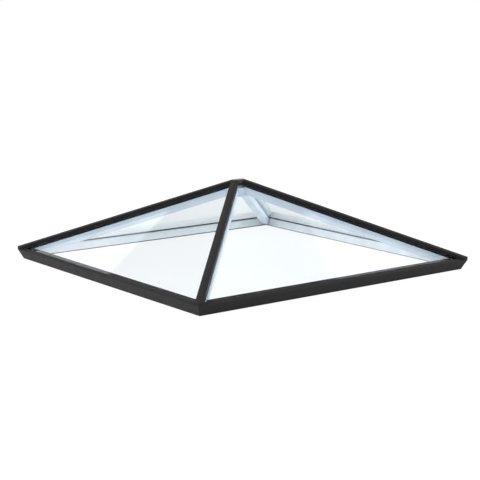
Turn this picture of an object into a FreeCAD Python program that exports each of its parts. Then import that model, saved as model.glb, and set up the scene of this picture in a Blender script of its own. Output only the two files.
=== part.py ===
"""Hipped roof lantern: mitred aluminium eaves frame, four hips, a short ridge and four glazed units.

Millimetres, +Z up. The origin is the centre of the plan, level with the lower rim of the eaves skirt.
The front faces -Y. Every side is the front turned about Z, and every hip is one along +X turned about Z.
The front and back are longer by the length of the ridge, and the hips stand that much further apart.
"""
import FreeCAD, Part
import os

import Sketcher
from FreeCAD import Placement, Rotation, Vector

UP = Vector(0, 0, 1)

# Driving dimensions: alias, value in millimetres or degrees, what it is
DIMENSIONS = [
    ("side", 1950, "left and right sides of the eaves frame, at its outer top edge"),
    ("ridge", 50, "length of the ridge, by which the front and back are longer"),
    ("pitch", 25, "slope of the glass"),
    ("eaves_height", 60, "height of the outer top edge above the skirt's rim"),
    ("skirt_drop", 12, "outer face below the level underside, to lap the kerb"),
    ("ring_width", 60, "outer top edge to the inner face of the ring, in plan"),
    ("trim_depth", 12, "depth of the inner trim behind its face"),
    ("trim_wall", 2, "wall of the inner trim"),
    ("beam_wall", 2.5, "wall of the eaves beam"),
    ("bead_thickness", 2, "flange of the eaves bead, on top of the glass"),
    ("bead_reach", 26, "flange of the eaves bead, up the slope"),
    ("bead_leg", 12, "leg of the eaves bead below the glass surface"),
    ("bead_wall", 2.5, "thickness of the bead's leg"),
    ("pane_thickness", 4, "each pane of a glazed unit"),
    ("cavity", 10, "gap between the panes"),
    ("spacer_inset", 1, "edge of the glass to the edge spacer"),
    ("spacer_width", 10, "width of the edge spacer"),
    ("glass_gap", 3, "clearance round the edge of the glass"),
    ("gasket_thickness", 3, "gasket under the glass"),
    ("eaves_gasket_width", 6, "gasket on the eaves ring"),
    ("eaves_gasket_inset", 8, "inner face of the ring to its gasket, in plan"),
    ("hip_gasket_width", 11, "each gasket on a hip bar"),
    ("hip_gasket_inset", 6, "side of a hip bar to its gasket"),
    ("hip_width", 50, "hip bar, across"),
    ("hip_depth", 42, "hip bar, height of its sides"),
    ("hip_wall", 2.5, "wall of the hip bar"),
    ("hip_chamfer", 3, "lower edges of the hip bar"),
    ("nose_width", 10, "web of the hip bar between the glazed units"),
    ("cap_width", 46, "hip cap, across"),
    ("cap_rise", 17, "hip cap, top face above the glass"),
    ("cap_wall", 2.5, "wall of the hip cap"),
    ("cap_end", 1, "lower end of the hip cap behind the outer edge"),
    ("hip_end_length", 40, "plug in the lower end of the hip cap, in plan"),
    ("cap_gasket_height", 4, "gasket between the glass and the hip cap"),
    ("cap_gasket_width", 5, "width of that gasket"),
    ("boss_width", 56, "ridge boss, across the faces that the hips meet"),
    ("cover_margin", 4, "boss cover beyond the boss"),
    ("cover_height", 5, "boss cover"),
    ("cover_chamfer", 2, "lower edges of the boss cover"),
    ("ridge_cap_radius", 23, "rounded ends of the ridge cap"),
    ("ridge_cap_wall", 3, "wall of the ridge cap"),
    ("ridge_cap_rise", 1.5, "top of the ridge cap above the ends of the hip caps"),
    ("ridge_cap_chamfer", 2, "upper edges of the ridge cap"),
    ("fixing_radius", 3.25, "screw hole through the underside"),
    ("access_radius", 6, "driver hole above each screw hole"),
    ("fixing_spread", 650, "screw holes either side of the middle"),
    ("fit", 0.2, "clearance between pieces that meet"),
]

# Values that follow from the driving dimensions: alias, formula
WORKED_OUT = [
    ("slope_sin", "sin(dims.pitch)"),
    ("slope_cos", "cos(dims.pitch)"),
    ("slope_tan", "tan(dims.pitch)"),
    ("hip_slope", "tan(dims.pitch) / sqrt(2)"),
    ("hip_angle", "atan(tan(dims.pitch) / sqrt(2))"),
    ("hip_rise_cos", "cos(atan(tan(dims.pitch) / sqrt(2)))"),
    ("hip_cos", "sqrt((1 + cos(dims.pitch) ^ 2) / 2)"),
    ("hip_tan", "sin(dims.pitch) / sqrt(1 + cos(dims.pitch) ^ 2)"),
    ("unit", "2 * dims.pane_thickness + dims.cavity"),
    ("seat", "2 * dims.pane_thickness + dims.cavity + dims.gasket_thickness"),
    ("glass_height", "dims.eaves_height - dims.bead_thickness / cos(dims.pitch)"),
    ("apex_height", "glass_height + dims.side / 2 * slope_tan"),
    ("beam_width", "dims.ring_width - dims.trim_depth"),
    ("face_lean", "dims.eaves_height * slope_tan"),
    ("face_across", "dims.beam_wall / slope_cos"),
    ("fixing_place", "(face_across + face_lean + beam_width) / 2"),
    ("upstand", "dims.bead_wall + dims.fit + dims.beam_wall"),
    ("glass_foot", "upstand + dims.glass_gap + dims.bead_thickness * slope_tan"),
    ("glass_shoulder", "sqrt(2) * (dims.nose_width / 2 + dims.glass_gap) + unit * slope_sin"),
    ("glass_tip", "glass_shoulder + dims.glass_gap"),
    ("ridge_glass_head", "dims.nose_width / 2 + dims.glass_gap + unit * slope_sin"),
    ("seal", "dims.fit / 2"),
    ("hip_length", "dims.side / sqrt(2) / hip_rise_cos + dims.cap_width"),
    ("hip_bottom", "-dims.hip_width / 2 * hip_tan - seat / hip_cos - dims.hip_depth"),
    ("boss_half", "max(dims.boss_width / 2; dims.hip_width / 2; dims.ridge_cap_radius) + dims.fit"),
    ("cover_half", "boss_half + dims.cover_margin"),
    ("boss_bottom", "apex_height - cover_half * hip_slope + hip_bottom / hip_rise_cos - dims.fit"),
    ("boss_top", "apex_height - boss_half * sqrt(2) * slope_tan - unit / slope_cos - dims.glass_gap"),
    ("hip_cap_head", "apex_height + dims.cap_rise / slope_cos - dims.ridge_cap_radius * hip_slope"),
    ("ridge_cap_top", "hip_cap_head + dims.ridge_cap_rise"),
    ("ridge_cap_foot", "apex_height - dims.ridge_cap_radius * slope_tan"),
]

# Each side: its turn about Z, its shift along X, what it is longer by, and its glass's top edge in plan
SIDES = {
    "front": (0, "0", "dims.ridge", "worked.ridge_glass_head"),
    "right": (90, "dims.ridge / 2", "0", "worked.glass_tip"),
    "back": (180, "0", "dims.ridge", "worked.ridge_glass_head"),
    "left": (270, "-dims.ridge / 2", "0", "worked.glass_tip"),
}

# Each hip: its turn about Z, its shift along X, and the sign of its own Y on the ridge's side
HIPS = {
    "back_right": (45, "dims.ridge / 2", ""),
    "back_left": (135, "-dims.ridge / 2", "-"),
    "front_left": (225, "-dims.ridge / 2", ""),
    "front_right": (315, "dims.ridge / 2", "-"),
}

doc = FreeCAD.newDocument("roof_lantern")
parts = []


def fill_sheet(name, rows, prefix=""):
    """Make a sheet with one named cell for each row."""
    sheet = doc.addObject("Spreadsheet::Sheet", name)
    for number, row in enumerate(rows, 1):
        sheet.set(f"A{number}", row[0])
        sheet.set(f"B{number}", prefix + str(row[1]))
        sheet.setAlias(f"B{number}", row[0])
        sheet.set(f"C{number}", row[2] if len(row) > 2 else "")
    doc.recompute()
    return sheet


dims = fill_sheet("dims", DIMENSIONS)
worked = fill_sheet("worked", WORKED_OUT, "=")


def value(expression):
    """The present value of an expression."""
    return float(dims.evalExpression(expression))


def new_body(label, turn=0, shift="0"):
    """An empty body, turned about Z to its side or hip and shifted along X."""
    body = doc.addObject("PartDesign::Body", label)
    body.Label = label
    body.AllowCompound = True
    body.Placement = Placement(Vector(value(shift), 0, 0), Rotation(UP, turn))
    body.setExpression("Placement.Base.x", shift)
    parts.append(body)
    return body


def new_sketch(body, plane, base=None, tilt=None):
    """A sketch on one of the body's own planes, moved by base and tilted about its own X axis."""
    sketch = body.newObject("Sketcher::SketchObject", body.Label + "_sketch")
    sketch.AttachmentSupport = [(next(f for f in body.Origin.OriginFeatures if f.Role == plane), "")]
    sketch.MapMode = "FlatFace"
    sketch.AttachmentOffset = Placement(Vector(), Rotation(Vector(1, 0, 0), value(tilt) if tilt else 0))
    for axis, expression in (base or {}).items():
        sketch.setExpression(f"AttachmentOffset.Base.{axis}", expression)
    if tilt:
        sketch.setExpression("AttachmentOffset.Rotation.Angle", tilt)
    return sketch


def place_point(sketch, geometry, point, expressions):
    """Bind one point of a sketch's geometry to its two expressions."""
    for kind, expression in zip(("DistanceX", "DistanceY"), expressions):
        index = sketch.addConstraint(Sketcher.Constraint(kind, -1, 1, geometry, point, value(expression)))
        sketch.setExpression(f"Constraints[{index}]", expression)


def draw_outline(sketch, corners):
    """A closed outline of straight lines, each corner a pair of expressions."""
    points = [Vector(value(x), value(y), 0) for x, y in corners]
    lines = [Part.LineSegment(a, b) for a, b in zip(points, points[1:] + points[:1])]
    geometry = sketch.addGeometry(lines, False)
    for this, following in zip(geometry, geometry[1:] + geometry[:1]):
        sketch.addConstraint(Sketcher.Constraint("Coincident", this, 2, following, 1))
    for line, corner in zip(geometry, corners):
        place_point(sketch, line, 1, corner)


def draw_circle(sketch, centre, radius):
    """A circle whose centre and radius are expressions."""
    middle = Vector(value(centre[0]), value(centre[1]), 0)
    circle = sketch.addGeometry(Part.Circle(middle, UP, value(radius)), False)
    index = sketch.addConstraint(Sketcher.Constraint("Radius", circle, value(radius)))
    sketch.setExpression(f"Constraints[{index}]", radius)
    place_point(sketch, circle, 3, centre)


def mirrored(corners):
    """A half outline, from top to bottom on the +X side, closed by its mirror image."""
    return corners + [(f"-({x})", y) for x, y in reversed(corners) if x != "0"]


def mirrored_across(corners):
    """A half outline on the +Y side, closed by its mirror image."""
    return corners + [(x, f"-({y})") for x, y in reversed(corners) if y != "0"]


def pad(body, sketch, length, side_type="One side"):
    """Extrude a sketch."""
    feature = body.newObject("PartDesign::Pad", body.Label + "_pad")
    feature.Profile = sketch
    feature.SideType = side_type
    feature.setExpression("Length", length)
    doc.recompute()


def cut(body, sketch, upwards=None):
    """Cut along a level sketch, right through or a length upwards, and make sure that it cut."""
    before = body.Shape.Volume
    feature = body.newObject("PartDesign::Pocket", body.Label + "_cut")
    feature.Profile = sketch
    feature.Reversed = True
    if upwards:
        feature.setExpression("Length", upwards)
    else:
        feature.SideType = "Two sides"
        feature.Type = "ThroughAll"
        feature.Type2 = "ThroughAll"
    doc.recompute()
    if body.Shape.Volume >= before:
        raise RuntimeError(f"{body.Label}: a cut took nothing away")


def chamfer_edges(body, height, size):
    """Chamfer the edges that lie level at a height."""
    level = value(height)
    slack = value("dims.fit")
    edges = [
        f"Edge{number}" for number, edge in enumerate(body.Shape.Edges, 1)
        if abs(edge.BoundBox.ZMin - level) < slack and abs(edge.BoundBox.ZMax - level) < slack
    ]
    solid = body.Tip
    feature = body.newObject("PartDesign::Chamfer", body.Label + "_chamfer")
    feature.Base = (solid, edges)
    feature.setExpression("Size", size)
    doc.recompute()


# Places on the eaves section, which lies in the YZ plane

def across(inward):
    """Y of a place a distance in from the front's outer edge."""
    return f"{inward} - dims.side / 2"


def eaves_point(along, depth):
    """A place up the slope from the outer face, and a depth below the top of the glass."""
    drop = f"({depth} + dims.bead_thickness)"
    inward = f"({along}) * worked.slope_cos + {drop} * worked.slope_sin"
    return across(inward), f"dims.eaves_height + ({along}) * worked.slope_sin - {drop} * worked.slope_cos"


def under_slope(inward, depth):
    """A place a distance in from the outer edge, and a depth below the top of the glass."""
    height = f"worked.glass_height + ({inward}) * worked.slope_tan - ({depth}) / worked.slope_cos"
    return across(inward), height


def level_point(inward, height):
    """A place a distance in from the outer edge, at a height."""
    return across(inward), height


def hip_point(offset, depth):
    """A place on the hip section: a distance from its middle, and a depth below the top of the glass."""
    return offset, f"-({offset}) * worked.hip_tan - ({depth}) / worked.hip_cos"


# Cuts that several pieces share

def mitre(body, longer):
    """Saw both ends of a side's extrusion at 45 degrees."""
    sketch = new_sketch(body, "XY_Plane")
    outer = "dims.side / 2 + dims.ring_width"
    inner = "dims.side / 2 - 2 * dims.ring_width"
    for sign in ("", "-"):
        draw_outline(sketch, [
            (f"{sign}({outer} + {longer} / 2 - worked.seal)", f"-({outer})"),
            (f"{sign}({inner} + {longer} / 2 - worked.seal)", f"-({inner})"),
            (f"{sign}({outer} + {longer} / 2)", f"-({inner})"),
            (f"{sign}({outer} + {longer} / 2)", f"-({outer})"),
        ])
    cut(body, sketch)


def cut_to_corner(body, inward):
    """Cut the lower end of a hip piece to fit the square corner that lies inward of the outer edge."""
    sketch = new_sketch(body, "XY_Plane")
    tip = f"sqrt(2) * (dims.side / 2 - {inward})"
    far = "dims.side"
    draw_outline(sketch, mirrored_across([
        (tip, "0"),
        (f"{tip} - dims.hip_width", "dims.hip_width"),
        (far, "dims.hip_width"),
    ]))
    cut(body, sketch)


def cut_at_boss(body):
    """Cut the upper end of a hip piece against the face of the ridge boss."""
    sketch = new_sketch(body, "XY_Plane")
    draw_outline(sketch, mirrored_across([
        ("worked.boss_half + dims.fit", "dims.hip_width"),
        ("-2 * worked.boss_half", "dims.hip_width"),
    ]))
    cut(body, sketch)


def cut_at_ridge_cap(body, sign):
    """Cut the upper end of a hip piece round the ridge cap, and mitre it to the hip at the same end."""
    reach = "dims.ridge_cap_radius + dims.fit"
    far = "2 * dims.cap_width"
    end = new_sketch(body, "XY_Plane")
    draw_circle(end, ("0", "0"), reach)
    cut(body, end)
    flank = new_sketch(body, "XY_Plane")
    draw_outline(flank, [
        (f"({reach}) / sqrt(2)", f"{sign}(({reach}) / sqrt(2))"),
        (f"({reach}) / sqrt(2) - {far}", f"{sign}(({reach}) / sqrt(2) + {far})"),
        (f"-({far})", f"{sign}({far})"),
        ("0", "0"),
    ])
    cut(body, flank)
    neighbour = new_sketch(body, "XY_Plane")
    draw_outline(neighbour, [
        ("worked.seal * sqrt(2)", "0"),
        (f"worked.seal * sqrt(2) + {far}", f"-({sign}({far}))"),
        (f"-({far})", f"-({sign}({far}))"),
        (f"-({far})", "0"),
    ])
    cut(body, neighbour)


# The eaves

def eaves_piece(name, kind, outlines):
    """An extrusion along one side, mitred at its ends."""
    turn, shift, longer, head = SIDES[name]
    body = new_body(f"{name}_{kind}", turn, shift)
    sketch = new_sketch(body, "YZ_Plane")
    for outline in outlines:
        draw_outline(sketch, outline)
    pad(body, sketch, f"dims.side + {longer}", "Symmetric")
    mitre(body, longer)
    return body


def behind_face(height):
    """A place on the back of the beam's outer wall, at a height."""
    return level_point(f"worked.face_across + (dims.eaves_height - ({height})) * worked.slope_tan", height)


def eaves_beam(name):
    """Hollow beam: leaning face with a skirt, sloping seat, upstand behind the bead."""
    wall = "dims.beam_wall"
    inner_wall = f"worked.beam_width - {wall}"
    floor = f"dims.skirt_drop + {wall}"
    roof = f"worked.seat + {wall}"
    outline = [
        level_point("worked.face_lean", "0"),
        behind_face("0"),
        level_point("worked.face_across + worked.face_lean", "dims.skirt_drop"),
        level_point("worked.beam_width", "dims.skirt_drop"),
        under_slope("worked.beam_width", "worked.seat"),
        eaves_point("worked.upstand", "worked.seat"),
        eaves_point("worked.upstand", "dims.fit"),
        eaves_point("dims.bead_wall + dims.fit", "dims.fit"),
        eaves_point("dims.bead_wall + dims.fit", "dims.bead_leg"),
        eaves_point("0", "dims.bead_leg"),
    ]
    chamber = [
        behind_face(floor),
        level_point(inner_wall, floor),
        under_slope(inner_wall, roof),
        eaves_point(wall, roof),
    ]
    body = eaves_piece(name, "eaves_beam", [outline, chamber])
    fixing_holes(body)


def fixing_holes(body):
    """Screw holes through the underside, each with a driver hole through the seat above it."""
    screw_sketch = new_sketch(body, "XY_Plane", {"z": "dims.skirt_drop"})
    access_sketch = new_sketch(body, "XY_Plane", {"z": "dims.skirt_drop + 2 * dims.beam_wall"})
    for place in ("-dims.fixing_spread", "0", "dims.fixing_spread"):
        centre = (place, across("worked.fixing_place"))
        draw_circle(screw_sketch, centre, "dims.fixing_radius")
        draw_circle(access_sketch, centre, "dims.access_radius")
    cut(body, screw_sketch, "2 * dims.beam_wall")
    cut(body, access_sketch, "dims.eaves_height")


def eaves_bead(name):
    """Bead over the lower edge of the glass, with a leg down the outer face."""
    eaves_piece(name, "eaves_bead", [[
        eaves_point("0", "-dims.bead_thickness"),
        eaves_point("dims.bead_reach - dims.bead_thickness", "-dims.bead_thickness"),
        eaves_point("dims.bead_reach", "-dims.bead_thickness / 2"),
        eaves_point("dims.bead_reach", "-worked.seal"),
        eaves_point("dims.bead_wall", "-worked.seal"),
        eaves_point("dims.bead_wall", "dims.bead_leg - dims.fit"),
        eaves_point("0", "dims.bead_leg - dims.fit"),
    ]])


def eaves_trim(name):
    """Inner trim: a channel that clips on the beam and lines the opening."""
    back = "worked.beam_width + dims.fit"
    inside = "dims.ring_width - dims.trim_wall"
    lining = "worked.seat + dims.trim_wall"
    shelf = "dims.skirt_drop + dims.trim_wall"
    eaves_piece(name, "eaves_trim", [[
        level_point(back, "dims.skirt_drop"),
        level_point("dims.ring_width", "dims.skirt_drop"),
        under_slope("dims.ring_width", "worked.seat"),
        under_slope(back, "worked.seat"),
        under_slope(back, lining),
        under_slope(inside, lining),
        level_point(inside, shelf),
        level_point(back, shelf),
    ]])


def eaves_gasket(name):
    """Gasket on the ring, under the lower edge of the glass."""
    inner = "dims.ring_width - dims.eaves_gasket_inset"
    outer = f"{inner} - dims.eaves_gasket_width"
    eaves_piece(name, "eaves_gasket", [[
        under_slope(outer, "worked.seat"),
        under_slope(inner, "worked.seat"),
        under_slope(inner, "worked.unit + worked.seal"),
        under_slope(outer, "worked.unit + worked.seal"),
    ]])


# The glazing, drawn on the slope: Y runs up the slope from the outer edge

def glass_outline(name, inset):
    """The outline of a side's glazed unit, a distance inside its edge."""
    turn, shift, longer, head = SIDES[name]
    half = "dims.side / 2"
    flank = f"worked.glass_shoulder + ({inset}) * worked.hip_cos * sqrt(2)"
    foot = f"worked.glass_foot + {inset}"
    foot_half = f"{half} + {longer} / 2 - ({foot}) * worked.slope_cos - ({flank})"
    head_narrowing = f"({inset}) * (worked.hip_cos * sqrt(2) - worked.slope_cos)"
    head_half = f"max({longer} / 2 + {head} - worked.glass_shoulder - {head_narrowing}; dims.fit)"
    top = f"({half} - {head}) / worked.slope_cos - ({inset})"
    return mirrored([(head_half, top), (foot_half, foot)])


def glazing_piece(name, kind, depth, thickness, insets):
    """A layer of a glazed unit, standing on a plane at a depth below the top of the glass."""
    turn, shift, longer, head = SIDES[name]
    body = new_body(f"{name}_{kind}", turn, shift)
    base = {
        "y": f"-dims.side / 2 + ({depth}) * worked.slope_sin",
        "z": f"worked.glass_height - ({depth}) * worked.slope_cos",
    }
    sketch = new_sketch(body, "XY_Plane", base, "dims.pitch")
    for inset in insets:
        draw_outline(sketch, glass_outline(name, inset))
    pad(body, sketch, thickness)


def glazed_unit(name):
    """Outer pane, inner pane and the spacer frame between their edges."""
    pane = "dims.pane_thickness"
    spacer_edges = ["dims.spacer_inset", "dims.spacer_inset + dims.spacer_width"]
    spacer_foot = f"{pane} + dims.cavity - worked.seal"
    glazing_piece(name, "outer_pane", pane, pane, ["0"])
    glazing_piece(name, "inner_pane", "worked.unit", pane, ["0"])
    glazing_piece(name, "spacer", spacer_foot, "dims.cavity - 2 * worked.seal", spacer_edges)


# The hips

def hip_sketch(body):
    """A sketch square to the hip, with its origin where the tops of the glass would meet at the ridge."""
    return new_sketch(body, "YZ_Plane", {"y": "worked.apex_height"}, "worked.hip_angle")


def hip_bar(name):
    """Box bar under the glass with a web between the units, cut into the ring's corner and to the boss."""
    turn, shift, sign = HIPS[name]
    body = new_body(f"{name}_hip_bar", turn, shift)
    half = "dims.hip_width / 2"
    nose = "dims.nose_width / 2"
    inside = "dims.hip_width / 2 - dims.hip_wall"
    nose_top = hip_point(nose, "dims.cap_wall - dims.cap_rise")[1]
    sketch = hip_sketch(body)
    draw_outline(sketch, mirrored([
        (nose, f"{nose_top} - dims.fit"),
        hip_point(nose, "worked.seat"),
        hip_point(half, "worked.seat"),
        (half, "worked.hip_bottom + dims.hip_chamfer"),
        (f"{half} - dims.hip_chamfer", "worked.hip_bottom"),
    ]))
    draw_outline(sketch, mirrored([
        hip_point("0", "worked.seat + dims.hip_wall"),
        hip_point(inside, "worked.seat + dims.hip_wall"),
        (inside, "worked.hip_bottom + dims.hip_wall"),
    ]))
    pad(body, sketch, "worked.hip_length")
    level = new_sketch(body, "XY_Plane", {"z": "dims.skirt_drop - dims.hip_depth"})
    draw_outline(level, mirrored_across([("dims.side / 2", half), ("dims.side", half)]))
    cut(body, level, "dims.hip_depth")
    cut_to_corner(body, "dims.ring_width - dims.fit")
    cut_at_boss(body)


def hip_cap(name):
    """Ridged cap over the joint of two units, cut to the corner of the eaves and round the ridge cap."""
    turn, shift, sign = HIPS[name]
    body = new_body(f"{name}_hip_cap", turn, shift)
    half = "dims.cap_width / 2"
    inside = "dims.cap_width / 2 - dims.cap_wall"
    sketch = hip_sketch(body)
    draw_outline(sketch, mirrored([
        hip_point("0", "-dims.cap_rise"),
        hip_point(half, "-dims.cap_rise"),
        hip_point(half, "-dims.cap_gasket_height"),
        hip_point(inside, "-dims.cap_gasket_height"),
        hip_point(inside, "dims.cap_wall - dims.cap_rise"),
        hip_point("0", "dims.cap_wall - dims.cap_rise"),
    ]))
    pad(body, sketch, "worked.hip_length")
    cut_to_corner(body, "dims.cap_end")
    cut_at_ridge_cap(body, sign)


def hip_end(name):
    """Plug that closes the lower end of the hip cap, between the cap and the eaves beads."""
    turn, shift, sign = HIPS[name]
    body = new_body(f"{name}_hip_end", turn, shift)
    start = "(dims.side / sqrt(2) - dims.hip_end_length)"
    inside = "dims.cap_width / 2 - dims.cap_wall - dims.fit"
    top = "dims.cap_wall + dims.fit - dims.cap_rise"
    bottom = "-dims.bead_thickness - dims.fit"
    place = {"y": f"worked.apex_height - {start} * worked.hip_slope", "z": start}
    sketch = new_sketch(body, "YZ_Plane", place, "worked.hip_angle")
    draw_outline(sketch, mirrored([
        hip_point("0", top),
        hip_point(inside, top),
        hip_point(inside, bottom),
        hip_point("0", bottom),
    ]))
    pad(body, sketch, "dims.hip_end_length + dims.cap_width")
    cut_to_corner(body, "dims.cap_end")


def hip_strips(body, inner, outer, lower, upper):
    """A pair of gasket strips along a hip, one each side of its middle."""
    sketch = hip_sketch(body)
    corners = [(inner, lower), (outer, lower), (outer, upper), (inner, upper)]
    strip = [hip_point(offset, depth) for offset, depth in corners]
    draw_outline(sketch, strip)
    draw_outline(sketch, [(f"-({x})", y) for x, y in strip])
    pad(body, sketch, "worked.hip_length")


def hip_gaskets(name):
    """Strips under the glass on the hip bar, and strips over the glass under the hip cap."""
    turn, shift, sign = HIPS[name]
    body = new_body(f"{name}_hip_gaskets", turn, shift)
    outer = "dims.hip_width / 2 - dims.hip_gasket_inset"
    under_glass = "worked.unit + worked.seal"
    hip_strips(body, f"{outer} - dims.hip_gasket_width", outer, "worked.seat", under_glass)
    cut_to_corner(body, "dims.ring_width - dims.fit")
    cut_at_boss(body)
    cap_edge = "dims.cap_width / 2"
    over_glass = "-worked.seal"
    under_cap = "-dims.cap_gasket_height"
    hip_strips(body, f"{cap_edge} - dims.cap_gasket_width", cap_edge, over_glass, under_cap)
    bead_edge = "dims.bead_reach * worked.slope_cos + dims.bead_thickness * worked.slope_sin"
    cut_to_corner(body, f"({bead_edge} + dims.fit)")
    cut_at_ridge_cap(body, sign)


# The ridge

def ridge_hexagon(half):
    """A level outline with faces square to the four hips, at a distance from the ends of the ridge."""
    corner = f"({half}) * sqrt(2)"
    return mirrored_across([
        (f"dims.ridge / 2 + {corner}", "0"),
        ("dims.ridge / 2", corner),
        ("-dims.ridge / 2", corner),
        (f"-(dims.ridge / 2 + {corner})", "0"),
    ])


def ridge_oblong(half):
    """A level rectangle whose edges are all at the same distance from the ridge and its ends."""
    return mirrored_across([(f"dims.ridge / 2 + {half}", half), (f"-(dims.ridge / 2 + {half})", half)])


def pad_round_ended(body, radius, base, height):
    """An upright solid along the ridge, round at both ends."""
    middle = new_sketch(body, "XY_Plane", {"z": base})
    draw_outline(middle, mirrored_across([("dims.ridge / 2", radius), ("-dims.ridge / 2", radius)]))
    pad(body, middle, height)
    for end in ("dims.ridge / 2", "-dims.ridge / 2"):
        sketch = new_sketch(body, "XY_Plane", {"z": base})
        draw_circle(sketch, (end, "0"), radius)
        pad(body, sketch, height)


def ridge_boss():
    """Six-sided block that the hip bars meet, with a web up between the glass to the ridge cap."""
    body = new_body("ridge_boss")
    block = new_sketch(body, "XY_Plane", {"z": "worked.boss_bottom"})
    draw_outline(block, ridge_hexagon("worked.boss_half"))
    pad(body, block, "worked.boss_top - worked.boss_bottom")
    web_top = "worked.ridge_cap_top - dims.ridge_cap_wall - dims.fit"
    pad_round_ended(body, "dims.nose_width / 2", "worked.boss_top", f"{web_top} - worked.boss_top")


def boss_cover():
    """Six-sided cover under the boss and the ends of the hip bars, with chamfered lower edges."""
    body = new_body("boss_cover")
    bottom = "worked.boss_bottom - dims.fit - dims.cover_height"
    sketch = new_sketch(body, "XY_Plane", {"z": bottom})
    draw_outline(sketch, ridge_hexagon("worked.cover_half"))
    pad(body, sketch, "dims.cover_height")
    chamfer_edges(body, bottom, "dims.cover_chamfer")


def ridge_cap():
    """Round-ended hollow cap over the ridge, with chamfered upper edges and a skirt cut to the glass."""
    body = new_body("ridge_cap")
    foot = "worked.ridge_cap_foot"
    pad_round_ended(body, "dims.ridge_cap_radius", foot, f"worked.ridge_cap_top - {foot}")
    chamfer_edges(body, "worked.ridge_cap_top", "dims.ridge_cap_chamfer")
    inside = "(dims.ridge_cap_radius - dims.ridge_cap_wall)"
    depth = f"worked.ridge_cap_top - dims.ridge_cap_wall - {foot}"
    middle = new_sketch(body, "XY_Plane", {"z": foot})
    draw_outline(middle, mirrored_across([("dims.ridge / 2", inside), ("-dims.ridge / 2", inside)]))
    cut(body, middle, depth)
    for end in ("dims.ridge / 2", "-dims.ridge / 2"):
        sketch = new_sketch(body, "XY_Plane", {"z": foot})
        draw_circle(sketch, (end, "0"), inside)
        cut(body, sketch, depth)
    whole = body.Shape.Volume
    halves = ("2 * dims.ridge_cap_radius", "dims.ridge_cap_radius / 4")
    sections = [glass_level(body, half) for half in halves]
    skirt = body.newObject("PartDesign::SubtractiveLoft", "ridge_cap_skirt")
    skirt.Profile = sections[0]
    skirt.Sections = [sections[1]]
    skirt.Ruled = True
    doc.recompute()
    if body.Shape.Volume >= whole:
        raise RuntimeError("ridge_cap: the skirt was not cut to the glass")


def glass_level(body, half):
    """A level oblong on the tops of the four slopes, a clearance above the glass."""
    sketch = new_sketch(body, "XY_Plane", {
        "z": f"worked.apex_height + dims.fit / worked.slope_cos - {half} * worked.slope_tan",
    })
    draw_outline(sketch, ridge_oblong(half))
    return sketch


for side in SIDES:
    eaves_beam(side)
    eaves_bead(side)
    eaves_trim(side)
    eaves_gasket(side)
    glazed_unit(side)
for hip in HIPS:
    hip_bar(hip)
    hip_cap(hip)
    hip_end(hip)
    hip_gaskets(hip)
ridge_boss()
boss_cover()
ridge_cap()
doc.recompute()

for thing in doc.Objects:
    if "Invalid" in thing.State or "Error" in thing.State:
        raise RuntimeError(f"{thing.Label} failed: {thing.State}")
for part in parts:
    if part.Shape.isNull() or not part.Shape.isValid():
        raise RuntimeError(f"{part.Label} has no valid shape")
os.makedirs("parts", exist_ok=True)
for part in parts:
    part.Shape.exportStep(f"parts/{part.Label}.step")
    print(part.Label, len(part.Shape.Solids), round(part.Shape.Volume))
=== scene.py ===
"""Roof lantern: the finishes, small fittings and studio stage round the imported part.

It is laid out as an add-on and run as a script. Its operators are listed in the Lantern tab of the sidebar.
Metres, +Z up, in the part's own frame: the floor lies just under the lower rim of the eaves skirt.
"""

import math
from collections import namedtuple

import bmesh
import bpy
from bpy.props import FloatProperty, FloatVectorProperty, PointerProperty
from bpy.types import Operator, Panel, PropertyGroup
from mathutils import Matrix, Vector


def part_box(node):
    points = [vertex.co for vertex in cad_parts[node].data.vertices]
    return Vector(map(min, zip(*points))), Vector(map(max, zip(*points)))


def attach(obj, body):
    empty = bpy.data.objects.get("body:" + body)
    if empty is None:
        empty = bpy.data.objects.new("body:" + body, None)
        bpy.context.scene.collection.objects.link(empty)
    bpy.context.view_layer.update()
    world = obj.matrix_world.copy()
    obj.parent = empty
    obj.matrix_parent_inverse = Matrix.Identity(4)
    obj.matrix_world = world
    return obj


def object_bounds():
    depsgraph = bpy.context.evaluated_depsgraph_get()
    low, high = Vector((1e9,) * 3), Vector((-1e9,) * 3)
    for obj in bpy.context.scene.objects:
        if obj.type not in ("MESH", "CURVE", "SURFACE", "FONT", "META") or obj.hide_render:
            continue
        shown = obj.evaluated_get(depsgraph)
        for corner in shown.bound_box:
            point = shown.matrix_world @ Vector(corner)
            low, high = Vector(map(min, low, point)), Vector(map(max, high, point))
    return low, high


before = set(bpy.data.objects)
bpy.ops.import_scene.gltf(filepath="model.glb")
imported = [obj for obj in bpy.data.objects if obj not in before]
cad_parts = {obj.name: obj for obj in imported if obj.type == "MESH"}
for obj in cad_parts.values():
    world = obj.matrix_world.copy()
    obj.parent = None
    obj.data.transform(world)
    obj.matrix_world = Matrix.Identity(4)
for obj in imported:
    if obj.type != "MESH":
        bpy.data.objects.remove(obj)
CAD_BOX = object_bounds()

bl_info = {
    "name": "Roof Lantern",
    "version": (1, 0, 0),
    "blender": (4, 5, 0),
    "location": "3D View > Sidebar > Lantern",
    "description": "Finishes, small fittings and a studio stage for a hipped roof lantern",
    "category": "Object",
}

# The part's pieces, by the ends of their names
BLACK_PIECES = ("_eaves_beam", "_eaves_bead", "_hip_cap", "_hip_end")
RIDGE_PIECE = "ridge_cap"
WHITE_PIECES = ("_hip_bar", "ridge_boss", "boss_cover")
TRIM_PIECES = ("_eaves_trim",)
GASKET_PIECES = ("_eaves_gasket", "_hip_gaskets")
SIDES = {"front": (0, -1), "right": (1, 0), "back": (0, 1), "left": (-1, 0)}

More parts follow.
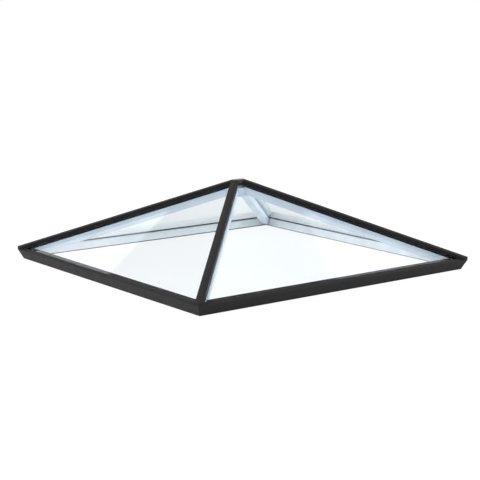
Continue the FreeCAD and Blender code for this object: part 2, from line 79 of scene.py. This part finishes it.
# Noise in the finishes: how fine it is, how much detail it has and how strongly it shows
Pattern = namedtuple("Pattern", "scale detail amount")
COAT_COLOUR = Pattern(5, 3, 0.10)
COAT_ROUGHNESS = Pattern(30, 3, 0.05)
COAT_PEEL = Pattern(450, 2, 0.25)
RUBBER_COLOUR = Pattern(60, 4, 0.25)
RUBBER_ROUGHNESS = Pattern(90, 3, 0.08)
RUBBER_BLOOM = Pattern(900, 2, 0.3)
GLASS_COLOUR = Pattern(2, 2, 0.006)
GLASS_RIPPLE = Pattern(3, 0, 0.02)
FLOOR_DRIFT = Pattern(0.5, 2, 0.01)
NOISE_LOW = 0.3
NOISE_HIGH = 0.7
GRAIN_HEIGHT = 0.0001
RIPPLE_HEIGHT = 0.0004

# Specular levels of the finishes, and the middle roughness of rubber
BLACK_GLOSS = 0.08
RIDGE_GLOSS = 0.5
WHITE_GLOSS = 0.45
RUBBER_GLOSS = 0.3
RUBBER_ROUGH = 0.72

# Rounding of the seal strips, as a share of their thickness
STRIP_ROUNDING = 0.45
STRIP_ROUNDING_STEPS = 3
LONG_EDGE_SHARE = 0.99

# Studio floor: its glow to the eye, and what is added where it is seen through glass
FLOOR_DROP = 0.0005
FLOOR_ROUGH = 0.9
FLOOR_GLOW = 1.048
FLOOR_GLOW_IN_GLASS = 0.095
FLOOR_GLOW_SHARE = 0.9

# Studio ceiling: how far it reaches for each metre of height, and the softness of its edge
CEILING_REACH_X = 0.927
CEILING_REACH_Y = 1.694
CEILING_SLANT = 0.374
CEILING_EDGE = 0.004
WALL_STRENGTH = 1

# Lamps: name, place, width and the setting that holds the power
LAMPS = (
    ("key_light", (-1.5, -0.5, 6.0), 5.0, "key_power"),
    ("right_light", (6.0, -2.2, 3.0), 4.0, "right_power"),
    ("left_light", (-5.0, 4.0, 3.0), 4.0, "left_power"),
)
SENSOR_WIDTH = 36


class LanternFinishes(PropertyGroup):
    """Colours and gloss of the lantern's finishes."""

    black_colour: FloatVectorProperty(
        name="Black coat", description="Colour of the powder coat outside",
        subtype="COLOR", size=3, min=0, max=1, default=(0.0200, 0.0200, 0.0208))
    black_roughness: FloatProperty(
        name="Black roughness", description="Roughness of the powder coat outside",
        subtype="FACTOR", min=0, max=1, default=0.45)
    ridge_roughness: FloatProperty(
        name="Ridge roughness", description="Roughness of the powder coat on the ridge cap",
        subtype="FACTOR", min=0, max=1, default=0.25)
    # The blue cast of the white coat is painted light: it stands in for the blue light that reaches the
    # inside through the glass.
    white_coat_colour_with_painted_blue: FloatVectorProperty(
        name="White coat", description="Colour of the powder coat inside",
        subtype="COLOR", size=3, min=0, max=1, default=(0.695, 0.77, 0.845))
    # The trims' coat is a lighter copy of the same white coat: painted light for the stronger light that
    # falls on the inner trims.
    trim_colour_painted_lighter: FloatVectorProperty(
        name="Trim coat", description="Colour of the powder coat on the inner trims",
        subtype="COLOR", size=3, min=0, max=1, default=(0.88, 0.93, 0.98))
    white_roughness: FloatProperty(
        name="White roughness", description="Roughness of the powder coat inside",
        subtype="FACTOR", min=0, max=1, default=0.32)
    glass_tint: FloatVectorProperty(
        name="Glass tint", description="What each pane lets through",
        subtype="COLOR", size=3, min=0, max=1, default=(0.968, 0.986, 0.998))
    outer_bend: FloatProperty(
        name="Outer pane", description="Index of refraction of the outer panes", min=1, max=2, default=1.05)
    inner_bend: FloatProperty(
        name="Inner pane", description="Index of refraction of the inner panes", min=1, max=2, default=1.3)
    gasket_colour: FloatVectorProperty(
        name="Gasket", description="Colour of the rubber gaskets",
        subtype="COLOR", size=3, min=0, max=1, default=(0.012, 0.013, 0.015))
    spacer_colour: FloatVectorProperty(
        name="Spacer", description="Colour of the edge spacers between the panes",
        subtype="COLOR", size=3, min=0, max=1, default=(0.018, 0.021, 0.026))


class LanternSeals(PropertyGroup):
    """Sizes of the rubber strips in the joints between the glass and the inner trims."""

    pitch: FloatProperty(
        name="Pitch", description="Slope of the glass", subtype="ANGLE", default=math.radians(25))
    joint: FloatProperty(
        name="Joint", description="Gap between the inner trim and the glass", unit="LENGTH", default=0.003)
    clearance: FloatProperty(
        name="Clearance", description="Gap left above and below each strip", unit="LENGTH", default=0.00005)
    toe: FloatProperty(
        name="Toe", description="How far a strip shows past the inner trim", unit="LENGTH", default=0.006)
    heel: FloatProperty(
        name="Heel", description="How far a strip lies on the inner trim", unit="LENGTH", default=0.0075)
    corner: FloatProperty(
        name="Corner", description="Length covered by the hip bar at each corner",
        unit="LENGTH", default=0.036)


class LanternStage(PropertyGroup):
    """The floor, lights and camera."""

    floor_colour: FloatVectorProperty(
        name="Floor", description="Colour of the floor",
        subtype="COLOR", size=3, min=0, max=1, default=(0.78, 0.78, 0.78))
    floor_size: FloatProperty(
        name="Floor size", description="Half the width of the floor",
        unit="LENGTH", min=1, default=80)
    sky_strength: FloatProperty(
        name="Sky", description="Strength of the soft light from all round", min=0, default=0.8)
    ceiling_strength: FloatProperty(
        name="Ceiling", description="Brightness of the studio's ceiling in gloss and glass",
        min=0, default=0.14)
    key_power: FloatProperty(
        name="Key light", description="Power of the large soft light", min=0, default=150)
    left_power: FloatProperty(
        name="Left light", description="Power of the light at the left", min=0, default=135)
    right_power: FloatProperty(
        name="Right light", description="Power of the light at the right", min=0, default=165)
    camera_place: FloatVectorProperty(
        name="Camera", description="Where the camera stands",
        subtype="TRANSLATION", unit="LENGTH", size=3, default=(-4.952, -6.510, 1.7043))
    camera_turn: FloatVectorProperty(
        name="Camera turn", description="How the camera is turned",
        subtype="EULER", unit="ROTATION", size=3, default=(1.382737, 0.0, -0.651671))
    lens: FloatProperty(
        name="Lens", description="Focal length of the camera", unit="CAMERA", min=1, default=101.6)


# Node helpers

def new_finish(name):
    """A material with a Principled shader, and the node that gives its place on the piece."""
    finish = bpy.data.materials.new(name)
    finish.use_nodes = True
    nodes = finish.node_tree.nodes
    nodes.clear()
    nodes.new("ShaderNodeOutputMaterial")
    shader = nodes.new("ShaderNodeBsdfPrincipled")
    place = nodes.new("ShaderNodeTexCoord")
    show(finish.node_tree, shader.outputs["BSDF"])
    return finish, shader, place


def show(tree, surface):
    """Let a tree's output show a shader."""
    output = next(node for node in tree.nodes if node.bl_idname.startswith("ShaderNodeOutput"))
    tree.links.new(surface, output.inputs["Surface"])


def mix_shaders(tree, share, first, second):
    """A mix of two shaders, with the second by its share."""
    mix = tree.nodes.new("ShaderNodeMixShader")
    tree.links.new(share, mix.inputs["Fac"])
    tree.links.new(first, mix.inputs[1])
    tree.links.new(second, mix.inputs[2])
    return mix.outputs["Shader"]


def add_noise(finish, place, pattern):
    """Noise on the piece's own coordinates, as its grey value."""
    tree = finish.node_tree
    noise = tree.nodes.new("ShaderNodeTexNoise")
    noise.inputs["Scale"].default_value = pattern.scale
    noise.inputs["Detail"].default_value = pattern.detail
    tree.links.new(place.outputs["Object"], noise.inputs["Vector"])
    return noise.outputs["Fac"]


def vary_colour(finish, shader, place, colour, pattern):
    """Let the base colour drift either side of the colour."""
    tree = finish.node_tree
    ramp = tree.nodes.new("ShaderNodeValToRGB")
    low, high = ramp.color_ramp.elements
    low.position = NOISE_LOW
    high.position = NOISE_HIGH
    low.color = [max(c * (1 - pattern.amount), 0) for c in colour] + [1]
    high.color = [min(c * (1 + pattern.amount), 1) for c in colour] + [1]
    tree.links.new(add_noise(finish, place, pattern), ramp.inputs["Fac"])
    tree.links.new(ramp.outputs["Color"], shader.inputs["Base Color"])


def vary_roughness(finish, shader, place, roughness, pattern):
    """Let the roughness drift either side of its value."""
    tree = finish.node_tree
    spread = tree.nodes.new("ShaderNodeMapRange")
    spread.inputs["From Min"].default_value = NOISE_LOW
    spread.inputs["From Max"].default_value = NOISE_HIGH
    spread.inputs["To Min"].default_value = roughness - pattern.amount
    spread.inputs["To Max"].default_value = roughness + pattern.amount
    tree.links.new(add_noise(finish, place, pattern), spread.inputs["Value"])
    tree.links.new(spread.outputs["Result"], shader.inputs["Roughness"])


def add_bump(finish, shader, place, height, pattern):
    """Raise the surface by noise, up to a height."""
    tree = finish.node_tree
    bump = tree.nodes.new("ShaderNodeBump")
    bump.inputs["Strength"].default_value = pattern.amount
    bump.inputs["Distance"].default_value = height
    tree.links.new(add_noise(finish, place, pattern), bump.inputs["Height"])
    tree.links.new(bump.outputs["Normal"], shader.inputs["Normal"])


def work_out(tree, operation, *terms):
    """The result of a Math node, each term a number or another node's output."""
    node = tree.nodes.new("ShaderNodeMath")
    node.operation = operation
    for term, socket in zip(terms, node.inputs):
        if isinstance(term, bpy.types.NodeSocket):
            tree.links.new(term, socket)
        else:
            socket.default_value = term
    return node.outputs["Value"]


def seen_by_eye_or_mirror(tree):
    """1 for the camera's own rays and for those that gloss or glass sends on."""
    path = tree.nodes.new("ShaderNodeLightPath").outputs
    sent_on = work_out(tree, "MAXIMUM", path["Is Glossy Ray"], path["Is Transmission Ray"])
    return work_out(tree, "MAXIMUM", path["Is Camera Ray"], sent_on)


# Finishes

def powder_coat(name, colour, roughness, gloss):
    """Baked powder coat: a faint orange peel, and slight drift in colour and gloss."""
    finish, shader, place = new_finish(name)
    shader.inputs["Specular IOR Level"].default_value = gloss
    vary_colour(finish, shader, place, colour, COAT_COLOUR)
    vary_roughness(finish, shader, place, roughness, COAT_ROUGHNESS)
    add_bump(finish, shader, place, GRAIN_HEIGHT, COAT_PEEL)
    return finish


def rubber(name, colour):
    """Matt extruded rubber with a fine bloom."""
    finish, shader, place = new_finish(name)
    shader.inputs["Specular IOR Level"].default_value = RUBBER_GLOSS
    vary_colour(finish, shader, place, colour, RUBBER_COLOUR)
    vary_roughness(finish, shader, place, RUBBER_ROUGH, RUBBER_ROUGHNESS)
    add_bump(finish, shader, place, GRAIN_HEIGHT, RUBBER_BLOOM)
    return finish


def toughened_glass(name, tint, bend):
    """Clear glass with the slow ripple of toughening rollers, which lets the lamps through."""
    finish, shader, place = new_finish(name)
    shader.inputs["Transmission Weight"].default_value = 1
    shader.inputs["Roughness"].default_value = 0
    shader.inputs["IOR"].default_value = bend
    vary_colour(finish, shader, place, tint, GLASS_COLOUR)
    add_bump(finish, shader, place, RIPPLE_HEIGHT, GLASS_RIPPLE)
    tree = finish.node_tree
    clear = tree.nodes.new("ShaderNodeBsdfTransparent")
    clear.inputs["Color"].default_value = list(tint) + [1]
    path = tree.nodes.new("ShaderNodeLightPath").outputs
    show(tree, mix_shaders(tree, path["Is Shadow Ray"], shader.outputs["BSDF"], clear.outputs["BSDF"]))
    return finish


def give_finish(endings, finish):
    """Put a finish on every piece of the part whose name ends so."""
    for name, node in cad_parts.items():
        if name.endswith(endings):
            for slot in node.material_slots:
                slot.material = finish


class LANTERN_OT_coat_outside(Operator):
    """Black powder coat on the eaves, beads, hip caps, their ends and the ridge cap"""

    bl_idname = "lantern.coat_outside"
    bl_label = "Coat the outside black"

    def execute(self, context):
        look = context.scene.lantern_finishes
        coat = powder_coat("black_powder_coat", look.black_colour, look.black_roughness, BLACK_GLOSS)
        give_finish(BLACK_PIECES, coat)
        cap_coat = powder_coat("ridge_cap_coat", look.black_colour, look.ridge_roughness, RIDGE_GLOSS)
        give_finish(RIDGE_PIECE, cap_coat)
        return {"FINISHED"}


class LANTERN_OT_coat_inside(Operator):
    """White powder coat on the inner trims, hip bars, boss and cover, with a painted blue cast and a
    lighter painted copy on the trims
    """

    bl_idname = "lantern.coat_inside"
    bl_label = "Coat the inside white"

    def execute(self, context):
        look = context.scene.lantern_finishes
        # The coat's blue cast is painted light, standing in for light tinted by the glass.
        coat = powder_coat("white_powder_coat", look.white_coat_colour_with_painted_blue, look.white_roughness, WHITE_GLOSS)
        give_finish(WHITE_PIECES, coat)
        # Lighter painted copy of the white coat, standing in for the stronger light on the trims.
        lighter_painted_trim_coat = powder_coat("white_trim_coat", look.trim_colour_painted_lighter, look.white_roughness, WHITE_GLOSS)
        give_finish(TRIM_PIECES, lighter_painted_trim_coat)
        return {"FINISHED"}


class LANTERN_OT_glaze(Operator):
    """Glass, edge spacers and gaskets of the four glazed units"""

    bl_idname = "lantern.glaze"
    bl_label = "Finish the glazing"

    def execute(self, context):
        look = context.scene.lantern_finishes
        give_finish("_outer_pane", toughened_glass("outer_glass", look.glass_tint, look.outer_bend))
        give_finish("_inner_pane", toughened_glass("inner_glass", look.glass_tint, look.inner_bend))
        give_finish("_spacer", rubber("edge_spacer", look.spacer_colour))
        give_finish(GASKET_PIECES, rubber("rubber_gasket", look.gasket_colour))
        return {"FINISHED"}


# Seal strips

def rubber_strip(length, width, tall, mitre):
    """A strip along X with rounded long edges, its ends cut back by the mitre for each metre across."""
    shape = bmesh.new()
    bmesh.ops.create_cube(shape, size=1)
    bmesh.ops.scale(shape, verts=shape.verts, vec=(length, width, tall))
    long_edges = [edge for edge in shape.edges if edge.calc_length() > LONG_EDGE_SHARE * length]
    bmesh.ops.bevel(shape, geom=long_edges, offset=STRIP_ROUNDING * min(width, tall),
                    segments=STRIP_ROUNDING_STEPS, profile=0.5, affect="EDGES", material=-1)
    for end in (-1, 1):
        verts = [vert for vert in shape.verts if vert.co.x * end > 0]
        cut = Matrix(((1, -end * mitre, 0), (0, 1, 0), (0, 0, 1))).to_4x4()
        bmesh.ops.transform(shape, matrix=cut, verts=verts)
    return shape


def lay_strip(scene, name, shape, middle, along, up, finish):
    """Put a strip in its place in the joint, as a piece of its own."""
    turn = Matrix((along, up.cross(along), up)).transposed().to_4x4()
    bmesh.ops.transform(shape, matrix=Matrix.Translation(middle) @ turn, verts=shape.verts)
    bmesh.ops.recalc_face_normals(shape, faces=shape.faces)
    mesh = bpy.data.meshes.new(name)
    shape.to_mesh(mesh)
    shape.free()
    mesh.materials.append(finish)
    strip = bpy.data.objects.new(name, mesh)
    scene.collection.objects.link(strip)
    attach(strip, "root")


class LANTERN_OT_seal_joints(Operator):
    """Rubber strips that close the joints between the glass and the inner trims"""

    bl_idname = "lantern.seal_joints"
    bl_label = "Seal the joints"

    def execute(self, context):
        sizes = context.scene.lantern_seals
        finish = rubber("seal_strip", context.scene.lantern_finishes.gasket_colour)
        slope = math.cos(sizes.pitch)
        half_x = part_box("right_eaves_trim")[0].x
        half_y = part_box("back_eaves_trim")[0].y
        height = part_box("front_eaves_trim")[1].z + sizes.joint / 2 / slope
        tall = sizes.joint - 2 * sizes.clearance
        inset = (sizes.toe - sizes.heel) / 2
        width = (sizes.toe + sizes.heel) / slope
        for side, (x, y) in SIDES.items():
            reach, half_length = (half_y, half_x) if x == 0 else (half_x, half_y)
            strip = rubber_strip(2 * (half_length - sizes.corner - inset), width, tall, slope)
            outward = Vector((x, y, 0))
            along = Vector((-y, x, 0))
            up = outward * math.sin(sizes.pitch) + Vector((0, 0, slope))
            middle = outward * (reach - inset) + Vector((0, 0, height + inset * math.tan(sizes.pitch)))
            lay_strip(context.scene, f"{side}_eaves_seal", strip, middle, along, up, finish)
        return {"FINISHED"}


# Stage

def lay_floor(scene, stage):
    """A wide plain floor under the skirt, white to the eye but with the lantern's shadow."""
    shape = bmesh.new()
    bmesh.ops.create_grid(shape, x_segments=2, y_segments=2, size=stage.floor_size)
    bmesh.ops.translate(shape, verts=shape.verts, vec=(0, 0, CAD_BOX[0].z - FLOOR_DROP))
    mesh = bpy.data.meshes.new("studio_floor")
    shape.to_mesh(mesh)
    shape.free()
    floor = bpy.data.objects.new("studio_floor", mesh)
    scene.collection.objects.link(floor)
    finish, shader, place = new_finish("studio_floor")
    shader.inputs["Roughness"].default_value = FLOOR_ROUGH
    shader.inputs["Specular IOR Level"].default_value = 0
    vary_colour(finish, shader, place, stage.floor_colour, FLOOR_DRIFT)
    tree = finish.node_tree
    glow = tree.nodes.new("ShaderNodeEmission")
    path = tree.nodes.new("ShaderNodeLightPath").outputs
    level = work_out(tree, "MULTIPLY_ADD", path["Is Transmission Ray"], FLOOR_GLOW_IN_GLASS, FLOOR_GLOW)
    tree.links.new(level, glow.inputs["Strength"])
    share = work_out(tree, "MULTIPLY", seen_by_eye_or_mirror(tree), FLOOR_GLOW_SHARE)
    show(tree, mix_shaders(tree, share, shader.outputs["BSDF"], glow.outputs["Emission"]))
    mesh.materials.append(finish)


def ceiling_share(tree):
    """1 towards the studio's six-sided ceiling, and 0 towards its walls, with soft edges."""
    place = tree.nodes.new("ShaderNodeTexCoord")
    parts = tree.nodes.new("ShaderNodeSeparateXYZ")
    tree.links.new(place.outputs["Generated"], parts.inputs["Vector"])
    across = work_out(tree, "ABSOLUTE", parts.outputs["X"])
    along = work_out(tree, "ABSOLUTE", parts.outputs["Y"])
    slanted = work_out(tree, "MULTIPLY_ADD", across, CEILING_SLANT, along)
    shares = []
    for size, reach in ((across, CEILING_REACH_X), (slanted, CEILING_REACH_Y)):
        limit = work_out(tree, "MULTIPLY", parts.outputs["Z"], reach)
        edge = tree.nodes.new("ShaderNodeMapRange")
        edge.interpolation_type = "SMOOTHSTEP"
        edge.inputs["From Min"].default_value = -CEILING_EDGE
        edge.inputs["From Max"].default_value = CEILING_EDGE
        tree.links.new(work_out(tree, "SUBTRACT", limit, size), edge.inputs["Value"])
        shares.append(edge.outputs["Result"])
    return work_out(tree, "MULTIPLY", *shares)


def plain_light(tree, strength):
    """White light of one strength from all round."""
    background = tree.nodes.new("ShaderNodeBackground")
    background.inputs["Color"].default_value = (1, 1, 1, 1)
    background.inputs["Strength"].default_value = strength
    return background.outputs["Background"]


def light_sky(scene, stage):
    """Soft light from all round; to the eye, white walls and a dim ceiling."""
    world = bpy.data.worlds.new("studio_sky")
    world.use_nodes = True
    tree = world.node_tree
    tree.nodes.clear()
    tree.nodes.new("ShaderNodeOutputWorld")
    sky = plain_light(tree, stage.sky_strength)
    walls = plain_light(tree, WALL_STRENGTH)
    ceiling = plain_light(tree, stage.ceiling_strength)
    room = mix_shaders(tree, ceiling_share(tree), walls, ceiling)
    show(tree, mix_shaders(tree, seen_by_eye_or_mirror(tree), sky, room))
    scene.world = world


def hang_light(scene, name, place, width, power):
    """A square soft light, turned to the middle of the lantern."""
    lamp = bpy.data.lights.new(name, "AREA")
    lamp.size = width
    lamp.energy = power
    light = bpy.data.objects.new(name, lamp)
    scene.collection.objects.link(light)
    light.location = place
    light.rotation_euler = Vector(place).to_track_quat("Z", "Y").to_euler()


def stand_camera(scene, stage):
    """The camera, at the photograph's viewing angle."""
    lens = bpy.data.cameras.new("camera")
    lens.lens = stage.lens
    lens.sensor_width = SENSOR_WIDTH
    camera = bpy.data.objects.new("camera", lens)
    scene.collection.objects.link(camera)
    camera.location = stage.camera_place
    camera.rotation_euler = stage.camera_turn
    scene.camera = camera


class LANTERN_OT_set_stage(Operator):
    """Pale floor, soft lights and the camera"""

    bl_idname = "lantern.set_stage"
    bl_label = "Set the stage"

    def execute(self, context):
        stage = context.scene.lantern_stage
        context.scene.view_settings.view_transform = "Standard"
        lay_floor(context.scene, stage)
        light_sky(context.scene, stage)
        for name, place, width, power in LAMPS:
            hang_light(context.scene, name, place, width, getattr(stage, power))
        stand_camera(context.scene, stage)
        return {"FINISHED"}


class LANTERN_PT_sidebar(Panel):
    """The lantern's operators, finishes, seals and stage"""

    bl_label = "Roof Lantern"
    bl_space_type = "VIEW_3D"
    bl_region_type = "UI"
    bl_category = "Lantern"

    def draw(self, context):
        for step in STEPS:
            self.layout.operator(step.bl_idname)
        scene = context.scene
        for settings in (scene.lantern_finishes, scene.lantern_seals, scene.lantern_stage):
            column = self.layout.column()
            for name in settings.__annotations__:
                column.prop(settings, name)


STEPS = (
    LANTERN_OT_coat_outside,
    LANTERN_OT_coat_inside,
    LANTERN_OT_glaze,
    LANTERN_OT_seal_joints,
    LANTERN_OT_set_stage,
)
CLASSES = (LanternFinishes, LanternSeals, LanternStage) + STEPS + (LANTERN_PT_sidebar,)


def register():
    for made in CLASSES:
        bpy.utils.register_class(made)
    bpy.types.Scene.lantern_finishes = PointerProperty(type=LanternFinishes)
    bpy.types.Scene.lantern_seals = PointerProperty(type=LanternSeals)
    bpy.types.Scene.lantern_stage = PointerProperty(type=LanternStage)


def unregister():
    del bpy.types.Scene.lantern_stage
    del bpy.types.Scene.lantern_seals
    del bpy.types.Scene.lantern_finishes
    for made in reversed(CLASSES):
        bpy.utils.unregister_class(made)


def main():
    """Run every step in order."""
    register()
    bpy.ops.lantern.coat_outside()
    bpy.ops.lantern.coat_inside()
    bpy.ops.lantern.glaze()
    bpy.ops.lantern.seal_joints()
    bpy.ops.lantern.set_stage()


if __name__ == "__main__":
    main()
